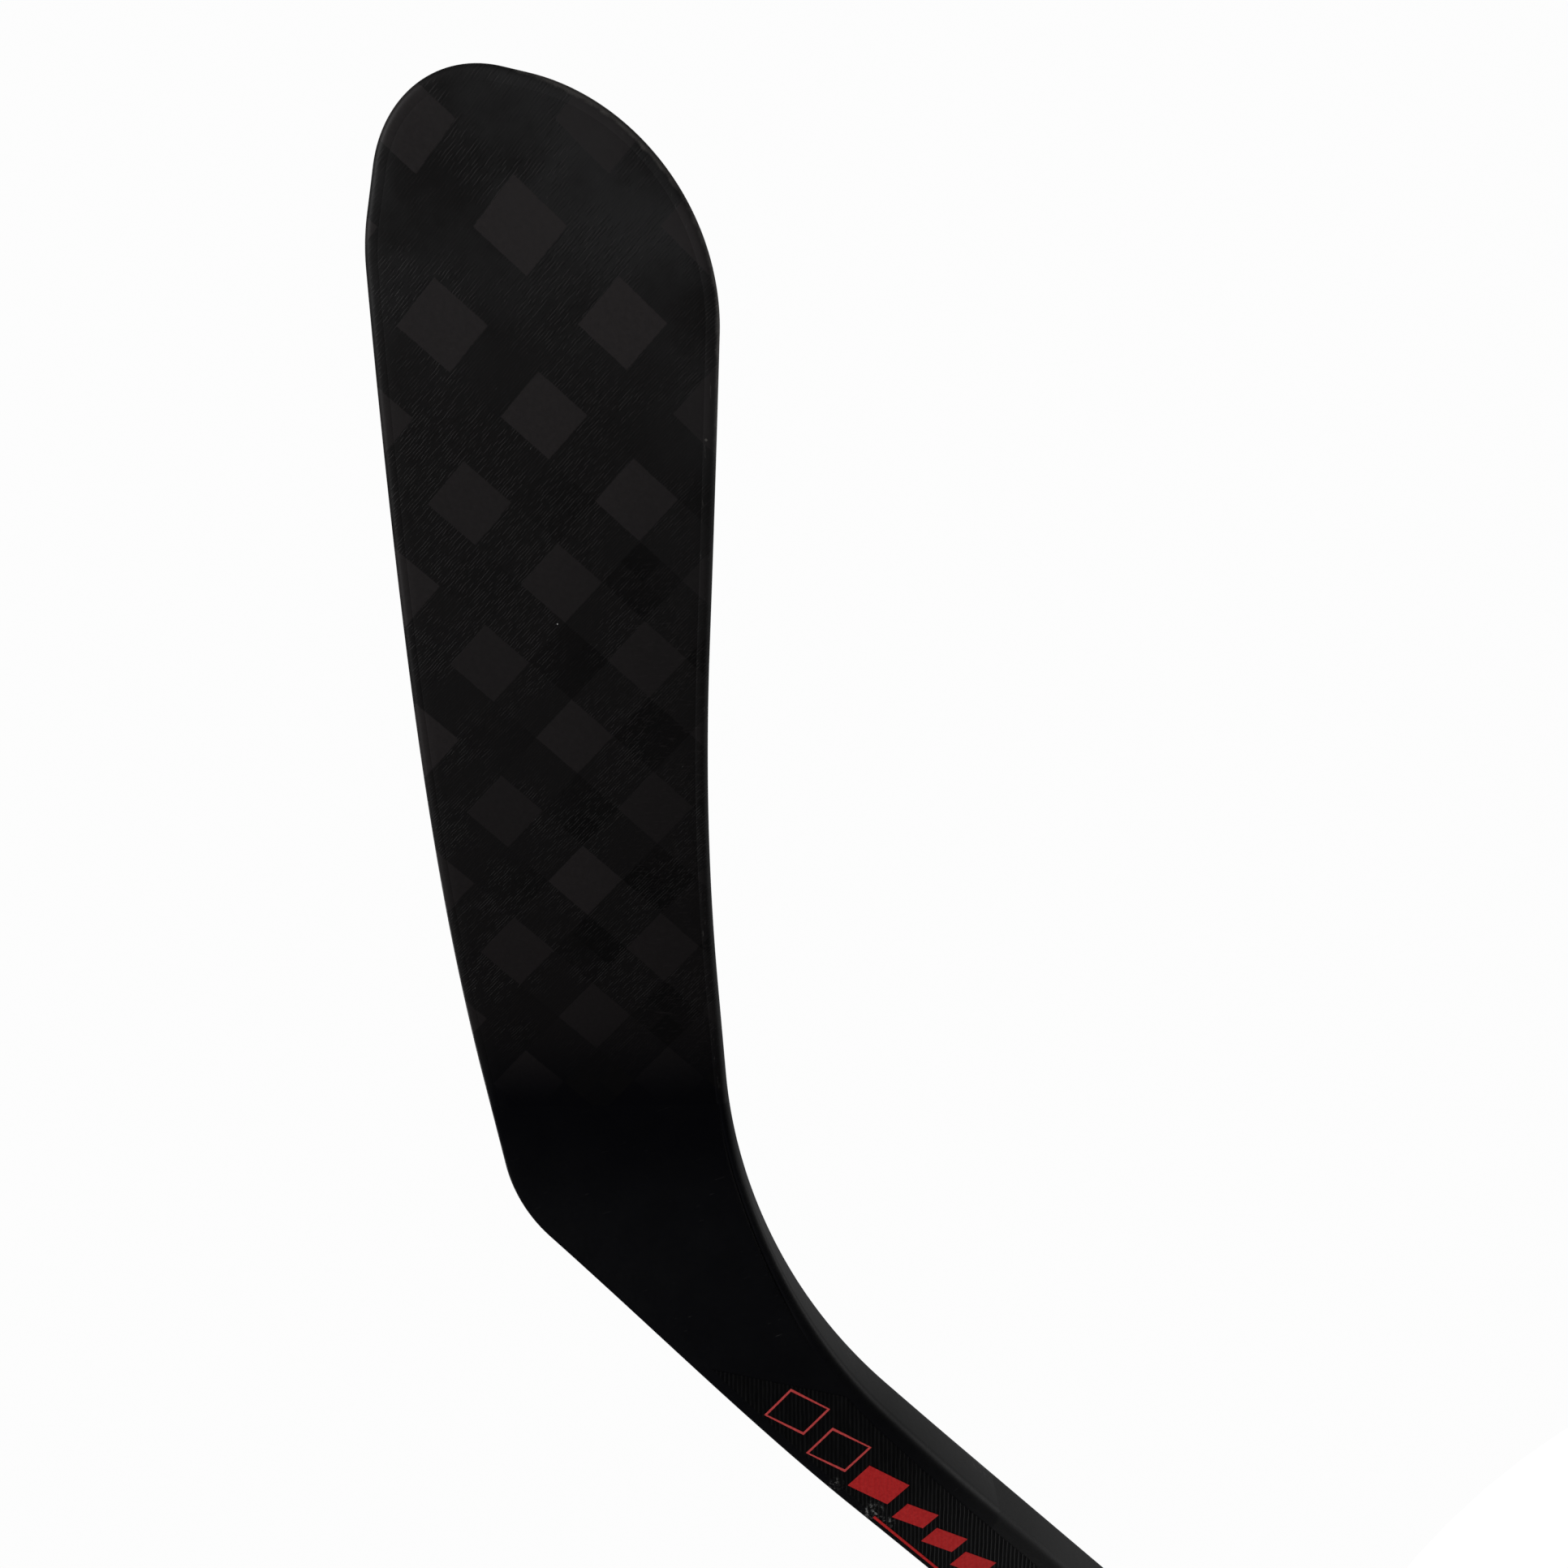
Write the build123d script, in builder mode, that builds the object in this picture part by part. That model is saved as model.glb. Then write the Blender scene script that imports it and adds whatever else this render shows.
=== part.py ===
"""Ice hockey stick for a right-handed player: hollow composite shaft, tapered hosel and curved blade.

The stick stands on its butt end. Z runs up the shaft, X points towards the toe, -Y is the forehand side.
The blade is drawn flat in its own frame, x from heel to toe and t from sole to top edge, then bent.
That frame leans 45 degrees from the shaft, so the blade and the shaft meet at 135 degrees.
"""

import math
import os

from build123d import *

# ---------------------------------------------------------------- driving dimensions, mm
SHAFT_WIDTH = 29.5
SHAFT_DEPTH = 20.0
SHAFT_CORNER = 4.5
SHAFT_WALL = 1.6
HEEL_HEIGHT = 1524.0

BLADE_REACH = 112.0
BLADE_RISE = 114.0
HEEL_THICKNESS = 8.0
TOE_THICKNESS = 4.4
TOE_X = 121.0
SOLE_LINE = -179.25
HEEL_LINE = -124.0
SEAM_X = -197.3
SEAM_TILT = 12.8

TAPER_START = -250.0
TAPER_LENGTH = 105.0
FACE_SETBACK = 11.6

BEND_RISE = 20.0
BEND_CENTRE = 51.0
BEND_WIDTH = 39.0
BEND_START = -200.0
BEND_EASE = 80.0
TWIST_ANGLE = 4.0
TWIST_START = -58.0
TWIST_LENGTH = 184.0

RIM_RADIUS = 1.8
RIM_SLOPE = 0.8
PLY = 0.3
SKIN = 1.0
EDGE_BAND = 3.0
RIB_WIDTH = 5.0
HOSEL_WALL = 2.0
HEEL_CORE_END = -212.0

JOINT_DROP = 262.0
TENON_IN_SHAFT = 65.0
TENON_TONGUE = 42.0
TONGUE_WIDTH = 20.0
TONGUE_DEPTH = 9.0
TONGUE_SHIFT = 2.5
BOND_GAP = 0.05

CAP_HEIGHT = 4.0
PLUG_INSERT = 50.0

FILM = 0.2
FILM_INSET = SHAFT_CORNER
FILM_LENGTH = 620.0
INK = 0.15
INK_LINE = 0.6
DECAL_DROP = 176.0
DECAL_SHIFT = -2.2
DECAL_LEAN = 3.5
OUTLINED_WIDTH = 11.0
OUTLINED_HEIGHT = 12.5
OUTLINED_PLACES = (17.5, 34.5)
SOLID_WIDTH = 9.0
SOLID_HEIGHT = 13.0
SOLID_PLACE = 51.0
SMALL_WIDTH = 6.5
SMALL_HEIGHT = 9.5
SMALL_PLACES = (66.5, 79.0, 91.5)
PINSTRIPE_WIDTH = 0.9
PINSTRIPE_X = -10.9
PINSTRIPE_ROOT = 0.3
PINSTRIPE_PLACE = 58.0
PINSTRIPE_LENGTH = 60.0

# ---------------------------------------------------------------- derived places
BLADE_HEIGHT = HEEL_HEIGHT + BLADE_RISE
JOINT_HEIGHT = BLADE_HEIGHT - JOINT_DROP
FILM_TOP = JOINT_HEIGHT + FILM_INSET
HALF_DEPTH = SHAFT_DEPTH / 2
ALONG = Vector(1, 0, 1).normalized()
ACROSS = Vector(1, 0, -1).normalized()
BLADE_ORIGIN = Vector(BLADE_REACH, 0, BLADE_HEIGHT)
BLADE_PLANE = Plane(origin=BLADE_ORIGIN, x_dir=ALONG, z_dir=(0, 1, 0))
TOP_LINE = SOLE_LINE + SHAFT_WIDTH * math.sqrt(2)
JOINT_SUM = -JOINT_DROP * math.sqrt(2)
SEAM_REACH = SHAFT_WIDTH + HALF_DEPTH
SEAM_LEAN = math.radians(SEAM_TILT)
SEAM_PLANE = Plane(
    origin=BLADE_ORIGIN + ALONG * SEAM_X,
    z_dir=ALONG * math.cos(SEAM_LEAN) + ACROSS * math.sin(SEAM_LEAN),
)
THROUGH = 120.0
LOW_T = -70.0
HIGH_T = 140.0
LOW_X = -300.0
HIGH_X = 135.0
STATIONS = 34


def on_joint(side):
    """Blade-frame point where a shaft edge line meets the square joint under the hosel."""
    return ((side + JOINT_SUM) / 2, (side - JOINT_SUM) / 2)


# corners of the side outline with the radius that rounds each one
OUTLINE = [
    (on_joint(SOLE_LINE), None),
    ((-155.75, -23.5), 41.0),
    ((-16.0, -46.5), 730.0),
    ((91.0, -34.5), 42.5),
    ((124.0, -22.5), 25.5),
    ((113.0, 41.5), 43.0),
    ((-43.5, 32.0), 745.0),
    ((-178.0, 178.0 + TOP_LINE), 161.0),
    (on_joint(TOP_LINE), None),
]


def ease(u):
    """0 to 1 with level ends."""
    u = min(max(u, 0.0), 1.0)
    return u * u * (3 - 2 * u)


def forehand(x, t):
    """Height of the forehand face over the shaft's mid plane, towards the forehand."""
    taper = FACE_SETBACK * ease((x - TAPER_START) / TAPER_LENGTH)
    swell = BEND_RISE * math.log1p(math.exp((x - BEND_CENTRE) / BEND_WIDTH))
    bend = swell * ease((x - BEND_START) / BEND_EASE)
    twist = t * math.tan(math.radians(TWIST_ANGLE)) * ease((x - TWIST_START) / TWIST_LENGTH)
    return HALF_DEPTH - taper + bend - twist


def backhand(x, t):
    """Height of the backhand face: the stick's thickness below the forehand face."""
    taper_end = TAPER_START + TAPER_LENGTH
    at_heel = SHAFT_DEPTH + (HEEL_THICKNESS - SHAFT_DEPTH) * ease((x - TAPER_START) / TAPER_LENGTH)
    towards_toe = min(max((x - taper_end) / (TOE_X - taper_end), 0.0), 1.0)
    return forehand(x, t) - at_heel + (HEEL_THICKNESS - TOE_THICKNESS) * towards_toe


def forehand_at(depth):
    """The forehand face moved in by a depth, as a height function."""
    return lambda x, t: forehand(x, t) - depth


def backhand_at(depth):
    """The backhand face moved in by a depth, as a height function."""
    return lambda x, t: backhand(x, t) + depth


def layer(top, bottom):
    """Bent and twisted slab between two height functions, wider than the whole blade."""
    step = (HIGH_X - TAPER_START) / STATIONS
    stations = [TAPER_START + i * step for i in range(STATIONS + 1)]
    with BuildPart() as slab:
        for t in (LOW_T, HIGH_T):
            with BuildSketch(Plane(origin=BLADE_ORIGIN + ACROSS * t, x_dir=ALONG, z_dir=ACROSS)):
                with BuildLine():
                    Line((LOW_X, top(LOW_X, t)), (TAPER_START, top(TAPER_START, t)))
                    Spline([(x, top(x, t)) for x in stations])
                    Line((HIGH_X, top(HIGH_X, t)), (HIGH_X, bottom(HIGH_X, t)))
                    Spline([(x, bottom(x, t)) for x in reversed(stations)])
                    Line((TAPER_START, bottom(TAPER_START, t)), (LOW_X, bottom(LOW_X, t)))
                    Line((LOW_X, bottom(LOW_X, t)), (LOW_X, top(LOW_X, t)))
                make_face()
        loft(ruled=True)
    return slab.part


def outline_face(inset=0.0, low_x=LOW_X, high_x=HIGH_X, low_t=LOW_T, high_t=HIGH_T):
    """Side outline of blade and hosel in the blade plane, moved in by an inset and cut to a window."""
    corners = [corner for corner, radius in OUTLINE]
    radii = [radius for corner, radius in OUTLINE if radius]
    with BuildSketch(BLADE_PLANE) as face:
        with BuildLine():
            FilletPolyline(*corners, radius=radii)
            Line(corners[-1], corners[0])
        make_face()
        if inset:
            offset(amount=-inset, kind=Kind.INTERSECTION, mode=Mode.REPLACE)
        with Locations(((low_x + high_x) / 2, (low_t + high_t) / 2)):
            Rectangle(high_x - low_x, high_t - low_t, mode=Mode.INTERSECT)
    return face.sketch


def finish(piece, name):
    """Names a finished piece and writes its file."""
    piece.part.label = name
    export_step(piece.part, f"parts/{name}.step")


def on_rim(edge):
    """True for an edge that runs round the outline, clear of the joint and of the face's own seams."""
    chord = (edge.position_at(1) - edge.position_at(0)).normalized()
    middle = edge.center()
    crosses_face = abs(middle.X) < SHAFT_CORNER and middle.Z < JOINT_HEIGHT + SEAM_REACH
    return abs(chord.Y) < RIM_SLOPE and not crosses_face


os.makedirs("parts", exist_ok=True)
RIB_HALF = RIB_WIDTH / 2

with BuildPart() as head:
    extrude(outline_face(), amount=THROUGH, both=True)
    add(layer(forehand_at(0), backhand_at(0)), mode=Mode.INTERSECT)
    fillet(head.edges().filter_by(on_rim), radius=RIM_RADIUS)

# ---------------------------------------------------------------- blade
with BuildPart() as blade_edge_band:
    extrude(outline_face(low_x=HEEL_LINE), amount=THROUGH, both=True)
    extrude(outline_face(inset=EDGE_BAND, low_x=LOW_X), amount=THROUGH, both=True, mode=Mode.SUBTRACT)
    add(head.part, mode=Mode.INTERSECT)
finish(blade_edge_band, "blade_edge_band")

BLADE_LAYERS = {
    "blade_forehand_ply": (forehand_at(0), forehand_at(PLY)),
    "blade_forehand_skin": (forehand_at(PLY), forehand_at(PLY + SKIN)),
    "blade_backhand_skin": (backhand_at(PLY + SKIN), backhand_at(PLY)),
    "blade_backhand_ply": (backhand_at(PLY), backhand_at(0)),
}
for name, (top, bottom) in BLADE_LAYERS.items():
    with BuildPart() as blade_layer:
        extrude(outline_face(inset=EDGE_BAND, low_x=HEEL_LINE), amount=THROUGH, both=True)
        add(layer(top, bottom), mode=Mode.INTERSECT)
    finish(blade_layer, name)

CORE_LAYER = layer(forehand_at(PLY + SKIN), backhand_at(PLY + SKIN))
CORE_WINDOWS = {
    "blade_upper_core": (RIB_HALF, HIGH_T),
    "blade_rib": (-RIB_HALF, RIB_HALF),
    "blade_lower_core": (LOW_T, -RIB_HALF),
}
for name, (low_t, high_t) in CORE_WINDOWS.items():
    window = outline_face(inset=EDGE_BAND, low_x=HEEL_LINE, low_t=low_t, high_t=high_t)
    with BuildPart() as blade_inside:
        extrude(window, amount=THROUGH, both=True)
        add(CORE_LAYER, mode=Mode.INTERSECT)
    finish(blade_inside, name)

# ---------------------------------------------------------------- printed film, let into both wide faces
FACES = {
    "forehand": (-1, forehand, 1),
    "backhand": (1, backhand, -1),
}


def coat(face, outward, low, high):
    """Thin slab along a face of the hosel, between two heights over that face."""
    return layer(
        lambda x, t: face(x, t) + outward * (high if outward > 0 else low),
        lambda x, t: face(x, t) + outward * (low if outward > 0 else high),
    )


def shaft_face(side):
    """Plane of a wide face of the shaft, with its y up the shaft and its z outwards."""
    return Plane(origin=(0, side * HALF_DEPTH, 0), x_dir=(side * -1, 0, 0), z_dir=(0, side, 0))


films = {}
for side_name, (side, face, outward) in FACES.items():
    with BuildPart() as film:
        extrude(outline_face(inset=FILM_INSET, high_x=HEEL_LINE), amount=THROUGH, both=True)
        split(bisect_by=SEAM_PLANE, keep=Keep.BOTTOM)
        add(coat(face, outward, -FILM, 0), mode=Mode.INTERSECT)
        with BuildSketch(shaft_face(side)):
            with Locations((0, FILM_TOP - FILM_LENGTH / 2)):
                Rectangle(SHAFT_WIDTH - 2 * FILM_INSET, FILM_LENGTH)
        extrude(amount=-FILM)
    finish(film, f"{side_name}_film")
    films[side_name] = film.part

# ---------------------------------------------------------------- hosel
with BuildPart() as heel_core:
    extrude(
        outline_face(inset=HOSEL_WALL, low_x=HEEL_CORE_END, high_x=HEEL_LINE),
        amount=THROUGH,
        both=True,
    )
    add(layer(forehand_at(HOSEL_WALL), backhand_at(HOSEL_WALL)), mode=Mode.INTERSECT)
finish(heel_core, "heel_core")

JOINT_PLANE = Plane.XY.offset(JOINT_HEIGHT)
with BuildPart() as hosel_tenon:
    with BuildSketch(JOINT_PLANE):
        RectangleRounded(
            SHAFT_WIDTH - 2 * (SHAFT_WALL + BOND_GAP),
            SHAFT_DEPTH - 2 * (SHAFT_WALL + BOND_GAP),
            SHAFT_CORNER - SHAFT_WALL,
        )
    extrude(amount=-TENON_IN_SHAFT)
    with BuildSketch(JOINT_PLANE):
        with Locations((0, TONGUE_SHIFT)):
            Rectangle(TONGUE_WIDTH, TONGUE_DEPTH)
    extrude(amount=TENON_TONGUE)
finish(hosel_tenon, "hosel_tenon")

with BuildPart() as hosel_shell:
    extrude(outline_face(high_x=HEEL_LINE), amount=THROUGH, both=True)
    add(head.part, mode=Mode.INTERSECT)
    add(heel_core.part, mode=Mode.SUBTRACT)
    add(hosel_tenon.part, mode=Mode.SUBTRACT)
    add(films.values(), mode=Mode.SUBTRACT)
finish(hosel_shell, "hosel_shell")

# ---------------------------------------------------------------- shaft
with BuildPart() as shaft_tube:
    with BuildSketch(Plane.XY.offset(CAP_HEIGHT)):
        RectangleRounded(SHAFT_WIDTH, SHAFT_DEPTH, SHAFT_CORNER)
        RectangleRounded(
            SHAFT_WIDTH - 2 * SHAFT_WALL,
            SHAFT_DEPTH - 2 * SHAFT_WALL,
            SHAFT_CORNER - SHAFT_WALL,
            mode=Mode.SUBTRACT,
        )
    extrude(amount=JOINT_HEIGHT - CAP_HEIGHT)
    add(films.values(), mode=Mode.SUBTRACT)
finish(shaft_tube, "shaft_tube")

with BuildPart() as butt_plug:
    with BuildSketch(Plane.XY):
        RectangleRounded(SHAFT_WIDTH, SHAFT_DEPTH, SHAFT_CORNER)
    extrude(amount=CAP_HEIGHT)
    with BuildSketch(Plane.XY.offset(CAP_HEIGHT)):
        RectangleRounded(
            SHAFT_WIDTH - 2 * (SHAFT_WALL + BOND_GAP),
            SHAFT_DEPTH - 2 * (SHAFT_WALL + BOND_GAP),
            SHAFT_CORNER - SHAFT_WALL,
        )
    extrude(amount=PLUG_INSERT)
finish(butt_plug, "butt_plug")

# ---------------------------------------------------------------- decals
DECAL_PLANE = Plane(origin=(DECAL_SHIFT, 0, BLADE_HEIGHT - DECAL_DROP), x_dir=(1, 0, 0), z_dir=(0, 1, 0))


def slanted_bar(width, height):
    """Parallelogram about the origin that leans across the shaft."""
    half_width = width / 2
    half_height = height / 2
    shift = DECAL_LEAN / 2
    Polygon(
        (-half_width - shift, -half_height),
        (half_width - shift, -half_height),
        (half_width + shift, half_height),
        (-half_width + shift, half_height),
    )


for side_name, (side, face, outward) in FACES.items():
    ink_coat = coat(face, outward, 0, INK)
    with BuildPart() as outlined:
        with BuildSketch(DECAL_PLANE):
            for place in OUTLINED_PLACES:
                with Locations((0, place)):
                    slanted_bar(OUTLINED_WIDTH, OUTLINED_HEIGHT)
        extrude(amount=THROUGH, both=True)
        with BuildSketch(DECAL_PLANE):
            for place in OUTLINED_PLACES:
                with Locations((0, place)):
                    slanted_bar(OUTLINED_WIDTH - 2 * INK_LINE, OUTLINED_HEIGHT - 2 * INK_LINE)
        extrude(amount=THROUGH, both=True, mode=Mode.SUBTRACT)
        add(ink_coat, mode=Mode.INTERSECT)
    finish(outlined, f"{side_name}_decal_outlined")

    with BuildPart() as solid_decal:
        with BuildSketch(DECAL_PLANE):
            with Locations((0, SOLID_PLACE)):
                slanted_bar(SOLID_WIDTH, SOLID_HEIGHT)
            for place in SMALL_PLACES:
                with Locations((0, place)):
                    slanted_bar(SMALL_WIDTH, SMALL_HEIGHT)
        extrude(amount=THROUGH, both=True)
        add(ink_coat, mode=Mode.INTERSECT)
    finish(solid_decal, f"{side_name}_decal_solid")

with BuildPart() as pinstripe:
    with BuildSketch(DECAL_PLANE):
        with Locations((PINSTRIPE_X - DECAL_SHIFT, PINSTRIPE_PLACE + PINSTRIPE_LENGTH / 2)):
            Rectangle(PINSTRIPE_WIDTH, PINSTRIPE_LENGTH)
    extrude(amount=THROUGH, both=True)
    add(coat(forehand, 1, -PINSTRIPE_ROOT, INK), mode=Mode.INTERSECT)
    add([head.part, shaft_tube.part], mode=Mode.SUBTRACT)
finish(pinstripe, "pinstripe")
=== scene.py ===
"""Ice hockey stick: carbon blade with a wide tow lattice, smooth black heel, ribbed film and red marks.

Blade coordinates: x runs from heel to toe, t from sole to top edge, and n from the shaft's mid plane
towards the forehand. A place in them is turned into the row frame by place().
"""

import math

import bmesh
import bpy
import numpy as np
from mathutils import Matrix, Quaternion, Vector
from mathutils.geometry import delaunay_2d_cdt
from mathutils.kdtree import KDTree


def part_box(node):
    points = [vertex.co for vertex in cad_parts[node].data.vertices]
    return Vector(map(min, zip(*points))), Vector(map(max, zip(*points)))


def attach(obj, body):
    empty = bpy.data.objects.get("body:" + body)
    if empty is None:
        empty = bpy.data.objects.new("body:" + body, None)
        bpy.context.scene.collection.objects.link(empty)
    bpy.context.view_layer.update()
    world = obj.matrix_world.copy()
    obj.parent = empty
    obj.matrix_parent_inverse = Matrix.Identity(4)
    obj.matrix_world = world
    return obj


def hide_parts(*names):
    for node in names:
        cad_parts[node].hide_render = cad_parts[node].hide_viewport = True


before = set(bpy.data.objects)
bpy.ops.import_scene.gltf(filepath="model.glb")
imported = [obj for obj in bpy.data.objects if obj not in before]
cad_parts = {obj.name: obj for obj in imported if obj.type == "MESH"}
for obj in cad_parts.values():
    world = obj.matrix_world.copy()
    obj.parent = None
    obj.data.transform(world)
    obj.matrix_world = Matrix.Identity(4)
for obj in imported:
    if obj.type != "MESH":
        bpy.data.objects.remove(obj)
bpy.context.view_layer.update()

# ---------------------------------------------------------------- dimensions, metres
MM = 0.001
ROOT_TWO = math.sqrt(2)

shaft_low, shaft_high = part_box("shaft_tube")
HALF_WIDTH = shaft_high.x
HALF_DEPTH = shaft_high.y
CAP_HEIGHT = shaft_low.z
JOINT_HEIGHT = shaft_high.z
FILM_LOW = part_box("forehand_film")[0].z

JOINT_DROP = 262 * MM
BLADE_REACH = 112 * MM
BLADE_HEIGHT = JOINT_HEIGHT + JOINT_DROP
BLADE_ORIGIN = np.array((BLADE_REACH, 0, BLADE_HEIGHT))
ALONG = np.array((1, 0, 1)) / ROOT_TWO
ACROSS = np.array((1, 0, -1)) / ROOT_TWO
FRONT = np.array((0, -1, 0))

SOLE_LINE = -179.25 * MM
TOP_LINE = SOLE_LINE + 2 * HALF_WIDTH * ROOT_TWO
JOINT_SUM = -JOINT_DROP * ROOT_TWO
HEEL_LINE = -124 * MM
SEAM_X = -197.3 * MM
SEAM_SLOPE = math.tan(math.radians(12.8))

HEEL_THICKNESS = 8 * MM
TOE_THICKNESS = 4.4 * MM
TOE_X = 121 * MM
TAPER_START = -250 * MM
TAPER_LENGTH = 105 * MM
TAPER_END = TAPER_START + TAPER_LENGTH
FACE_SETBACK = 11.6 * MM
BEND_RISE = 20 * MM
BEND_CENTRE = 51 * MM
BEND_WIDTH = 39 * MM
BEND_START = -200 * MM
BEND_EASE = 80 * MM
TWIST = math.tan(math.radians(4))
TWIST_START = -58 * MM
TWIST_LENGTH = 184 * MM

SHAFT_CORNER = 4.5 * MM
SHAFT_WALL = 1.6 * MM
HOSEL_WALL = 2 * MM
RIM_RADIUS = 1.8 * MM
EDGE_BAND = 3 * MM
FACE_DEPTH = 1.3 * MM
BEVEL = 0.3 * MM
GROOVE = 0.05 * MM
CREVICE = 0.42 * MM

FILM_PROUD = 0.08 * MM
FILM_SUNK = 0.12 * MM
INK_PROUD = 0.14 * MM


def joint_end(side):
    """Blade coordinates of the point where a shaft edge line meets the square joint."""
    return ((side + JOINT_SUM) / 2, (side - JOINT_SUM) / 2)


# corners of the side outline with the radius that rounds each one
OUTLINE_START = joint_end(SOLE_LINE)
OUTLINE_END = joint_end(TOP_LINE)
OUTLINE_CORNERS = [
    ((-155.75 * MM, -23.5 * MM), 41 * MM),
    ((-16 * MM, -46.5 * MM), 730 * MM),
    ((91 * MM, -34.5 * MM), 42.5 * MM),
    ((124 * MM, -22.5 * MM), 25.5 * MM),
    ((113 * MM, 41.5 * MM), 43 * MM),
    ((-43.5 * MM, 32 * MM), 745 * MM),
    ((-178 * MM, 178 * MM + TOP_LINE), 161 * MM),
]
OUTLINE_STEP = 0.25 * MM
RING_STEP = 1.1 * MM
GRID_STEP = 2.2 * MM
GRID_MARGIN = 0.55 * GRID_STEP
WELD = 1e-9


# ---------------------------------------------------------------- the stick's surfaces
def ease(u):
    """0 to 1 with level ends."""
    u = np.clip(u, 0, 1)
    return u * u * (3 - 2 * u)


def forehand(x, t):
    """Height of the forehand face over the shaft's mid plane."""
    taper = FACE_SETBACK * ease((x - TAPER_START) / TAPER_LENGTH)
    swell = BEND_RISE * np.log1p(np.exp((x - BEND_CENTRE) / BEND_WIDTH))
    bend = swell * ease((x - BEND_START) / BEND_EASE)
    twist = t * TWIST * ease((x - TWIST_START) / TWIST_LENGTH)
    return HALF_DEPTH - taper + bend - twist


def backhand(x, t):
    """Height of the backhand face."""
    at_heel = 2 * HALF_DEPTH + (HEEL_THICKNESS - 2 * HALF_DEPTH) * ease((x - TAPER_START) / TAPER_LENGTH)
    towards_toe = np.clip((x - TAPER_END) / (TOE_X - TAPER_END), 0, 1)
    return forehand(x, t) - at_heel + (HEEL_THICKNESS - TOE_THICKNESS) * towards_toe


def place(x, t, n):
    """Row-frame points for blade coordinates."""
    x, t, n = (np.asarray(a, float)[..., None] for a in np.broadcast_arrays(x, t, n))
    return BLADE_ORIGIN + x * ALONG + t * ACROSS + n * FRONT


def on_shaft(side_x, height):
    """Blade coordinates of a row-frame X and Z."""
    across = np.asarray(side_x, float) - BLADE_REACH
    up = np.asarray(height, float) - BLADE_HEIGHT
    return (across + up) / ROOT_TWO, (across - up) / ROOT_TWO


def fillet(before, corner, after, radius):
    """Points of the arc that rounds one corner."""
    inward = (before - corner) / np.linalg.norm(before - corner)
    outward = (after - corner) / np.linalg.norm(after - corner)
    half_turn = (math.pi - math.acos(inward @ outward)) / 2
    tangent = radius * math.tan(half_turn)
    bisector = (inward + outward) / np.linalg.norm(inward + outward)
    centre = corner + bisector * math.hypot(tangent, radius)
    start = corner + inward * tangent - centre
    end = corner + outward * tangent - centre
    first = math.atan2(start[1], start[0])
    sweep = (math.atan2(end[1], end[0]) - first + math.pi) % math.tau - math.pi
    count = max(2, math.ceil(radius * abs(sweep) / OUTLINE_STEP))
    angles = first + sweep * np.linspace(0, 1, count + 1)
    return centre + radius * np.column_stack((np.cos(angles), np.sin(angles)))


def lengths(curve):
    """Distance along a curve at each of its points."""
    return np.append(0, np.cumsum(np.linalg.norm(np.diff(curve, axis=0), axis=1)))


def resample(curve, count):
    """The same curve with evenly spaced points."""
    along = lengths(curve)
    wanted = np.linspace(0, along[-1], count)
    return np.column_stack([np.interp(wanted, along, axis) for axis in curve.T])


def full_outline():
    """Side outline from the joint round the sole, toe and top edge back to the joint, with normals."""
    corners = [np.array(c) for c in (OUTLINE_START, *(c for c, _ in OUTLINE_CORNERS), OUTLINE_END)]
    radii = [radius for _, radius in OUTLINE_CORNERS]
    arcs = [fillet(a, b, c, r) for a, b, c, r in zip(corners, corners[1:], corners[2:], radii)]
    curve = np.vstack([corners[0], *arcs, corners[-1]])
    curve = resample(curve, math.ceil(lengths(curve)[-1] / OUTLINE_STEP))
    tangent = np.gradient(curve, axis=0)
    tangent /= np.linalg.norm(tangent, axis=1)[:, None]
    return curve, np.column_stack((tangent[:, 1], -tangent[:, 0]))


OUTLINE, OUTWARD = full_outline()


def inset_curve(inset):
    """The outline moved in by an inset."""
    return OUTLINE - inset * OUTWARD


def past_line(curve, line):
    """The stretch of an inset outline on the toe side of a cut across the blade, ended on the cut."""
    inside = np.flatnonzero(curve[:, 0] > line)
    first, last = inside[0], inside[-1]
    ends = []
    for outer, inner in ((first - 1, first), (last + 1, last)):
        share = (line - curve[outer, 0]) / (curve[inner, 0] - curve[outer, 0])
        ends.append(curve[outer] + share * (curve[inner] - curve[outer]))
    return np.vstack((ends[0], curve[first : last + 1], ends[1]))


def before_line(curve, line):
    """The two stretches of an inset outline from the joint to a cut, sole side and top side."""
    inside = np.flatnonzero(curve[:, 0] > line)
    cut = past_line(curve, line)
    sole = np.vstack((curve[: inside[0]], cut[:1]))
    top = np.vstack((curve[: inside[-1] : -1], cut[-1:]))
    return sole, top


RING_COUNT = math.ceil(lengths(past_line(OUTLINE, HEEL_LINE))[-1] / RING_STEP)


def blade_ring(inset):
    """Points round the blade at one inset, from the sole to the top end of the heel cut."""
    return resample(past_line(inset_curve(inset), HEEL_LINE), RING_COUNT)


EDGE_TREE = KDTree(len(OUTLINE))
for index, point in enumerate(OUTLINE):
    EDGE_TREE.insert((*point, 0), index)
EDGE_TREE.balance()

# arc length along the bent forehand face, which the tow lattice follows
ARC_X = np.linspace(-400 * MM, 140 * MM, 1081)
ARC_RISE = np.where(ARC_X[1:] > TAPER_END, np.diff(forehand(ARC_X, 0)), 0)
ARC_S = np.append(0, np.cumsum(np.hypot(np.diff(ARC_X), ARC_RISE))) + ARC_X[0]


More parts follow.
